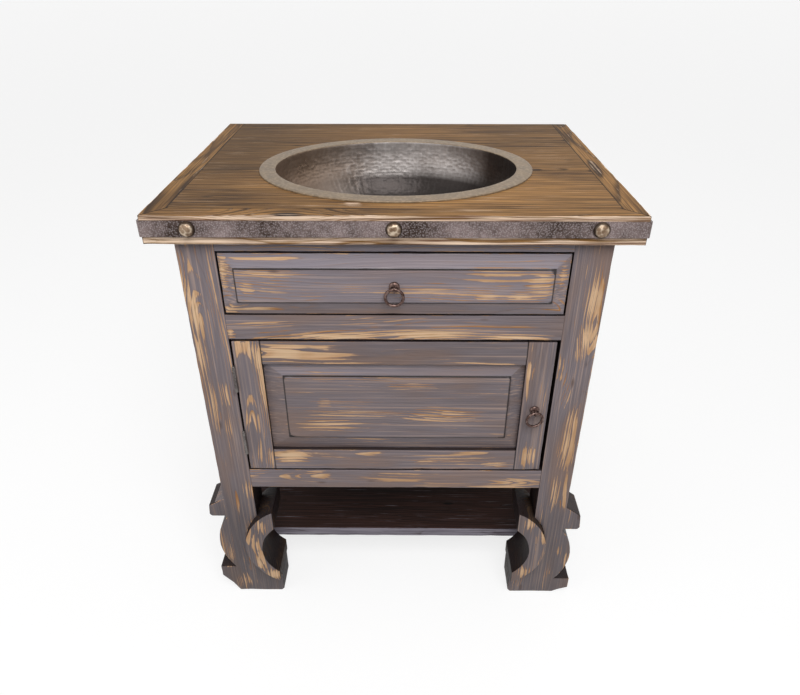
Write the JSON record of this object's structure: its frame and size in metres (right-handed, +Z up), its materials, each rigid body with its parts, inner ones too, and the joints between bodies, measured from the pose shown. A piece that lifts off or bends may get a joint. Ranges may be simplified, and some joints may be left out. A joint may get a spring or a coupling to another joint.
{
  "type": "vanity unit",
  "caption": "Rustic distressed vanity unit with a drop-in hammered oval basin, a drawer, a raised-panel door, an open shelf and scroll-cut feet.",
  "frame": {"origin": "centre of the whole outline's base, on the floor", "axes": "+X to the right seen from the front, +Y towards the wall, +Z up; the front faces -Y"},
  "size_m": [0.7852, 0.6116, 0.8664],
  "materials": {
    "stained_pine": "brown stain and wax over pine, worn at the edges",
    "painted_pine": "matte charcoal paint, rubbed through to tan pine at the edges and knots",
    "dark_pine": "dark worn stain",
    "raw_pine": "plain sanded pine",
    "hammered_iron": "dark hammered, rubbed bronze patina",
    "aged_bronze": "pale antique bronze, hammered dome",
    "dark_copper": "dark hammered patina with a paler rubbed rim",
    "plain_steel": "dull steel"
  },
  "bodies": {
    "cabinet": {"back_panel": "painted_pine", "back_rail_bottom": "painted_pine", "back_rail_top": "painted_pine", "cabinet_floor": "dark_pine", "clavo_front_centre": "aged_bronze", "clavo_front_left": "aged_bronze", "clavo_front_right": "aged_bronze", "clavo_side_left": "aged_bronze", "clavo_side_right": "aged_bronze", "drain_body": "dark_copper", "drain_nut": "dark_copper", "drawer_runner_left": "raw_pine", "drawer_runner_right": "raw_pine", "face_rail_bottom": "painted_pine", "face_rail_middle": "painted_pine", "face_rail_top": "painted_pine", "foot_scroll_left": "painted_pine", "foot_scroll_right": "painted_pine", "front_leg_left": "painted_pine", "front_leg_right": "painted_pine", "hinge_lower_pin": "plain_steel", "hinge_lower_post_leaf": "plain_steel", "hinge_upper_pin": "plain_steel", "hinge_upper_post_leaf": "plain_steel", "iron_strap": "hammered_iron", "rear_leg_left": "painted_pine", "rear_leg_right": "painted_pine", "shelf": "dark_pine", "shelf_stretcher_left": "painted_pine", "shelf_stretcher_right": "painted_pine", "side_panel_left": "painted_pine", "side_panel_right": "painted_pine", "side_rail_bottom_left": "painted_pine", "side_rail_bottom_right": "painted_pine", "side_rail_top_left": "painted_pine", "side_rail_top_right": "painted_pine", "sink_bowl": "dark_copper", "top_edge_board_front": "stained_pine", "top_edge_board_left": "stained_pine", "top_edge_board_right": "stained_pine", "top_plank_back": "stained_pine", "top_plank_front": "stained_pine", "top_plank_middle": "stained_pine"},
    "drawer": {"drawer_back": "raw_pine", "drawer_bottom": "raw_pine", "drawer_front": "painted_pine", "drawer_pull_plate": "hammered_iron", "drawer_side_left": "raw_pine", "drawer_side_right": "raw_pine"},
    "drawer_ring_body": {"drawer_ring": "hammered_iron"},
    "door": {"door_panel": "painted_pine", "door_pull_plate": "hammered_iron", "door_rail_bottom": "painted_pine", "door_rail_top": "painted_pine", "door_stile_left": "painted_pine", "door_stile_right": "painted_pine", "hinge_lower_door_leaf": "plain_steel", "hinge_upper_door_leaf": "plain_steel"},
    "door_ring_body": {"door_ring": "hammered_iron"}
  },
  "joints": [
    {"name": "drawer_slide", "type": "slide", "parent": "cabinet", "child": "drawer", "axis": [0, -1, 0], "range_m": [0, 0.055]},
    {"name": "door_hinge", "type": "hinge", "parent": "cabinet", "child": "door", "pos_m": [-0.2785, -0.2805, 0.4945], "axis": [0, 0, -1], "range_deg": [0, 110]},
    {"name": "drawer_ring_swing", "type": "hinge", "parent": "drawer", "child": "drawer_ring_body", "pos_m": [0, -0.296, 0.7431], "axis": [-1, 0, 0], "range_deg": [-12, 90]},
    {"name": "door_ring_swing", "type": "hinge", "parent": "door", "child": "door_ring_body", "pos_m": [0.2505, -0.288, 0.4945], "axis": [-0.9877, -0.1564, 0], "range_deg": [0, 90]}
  ]
}
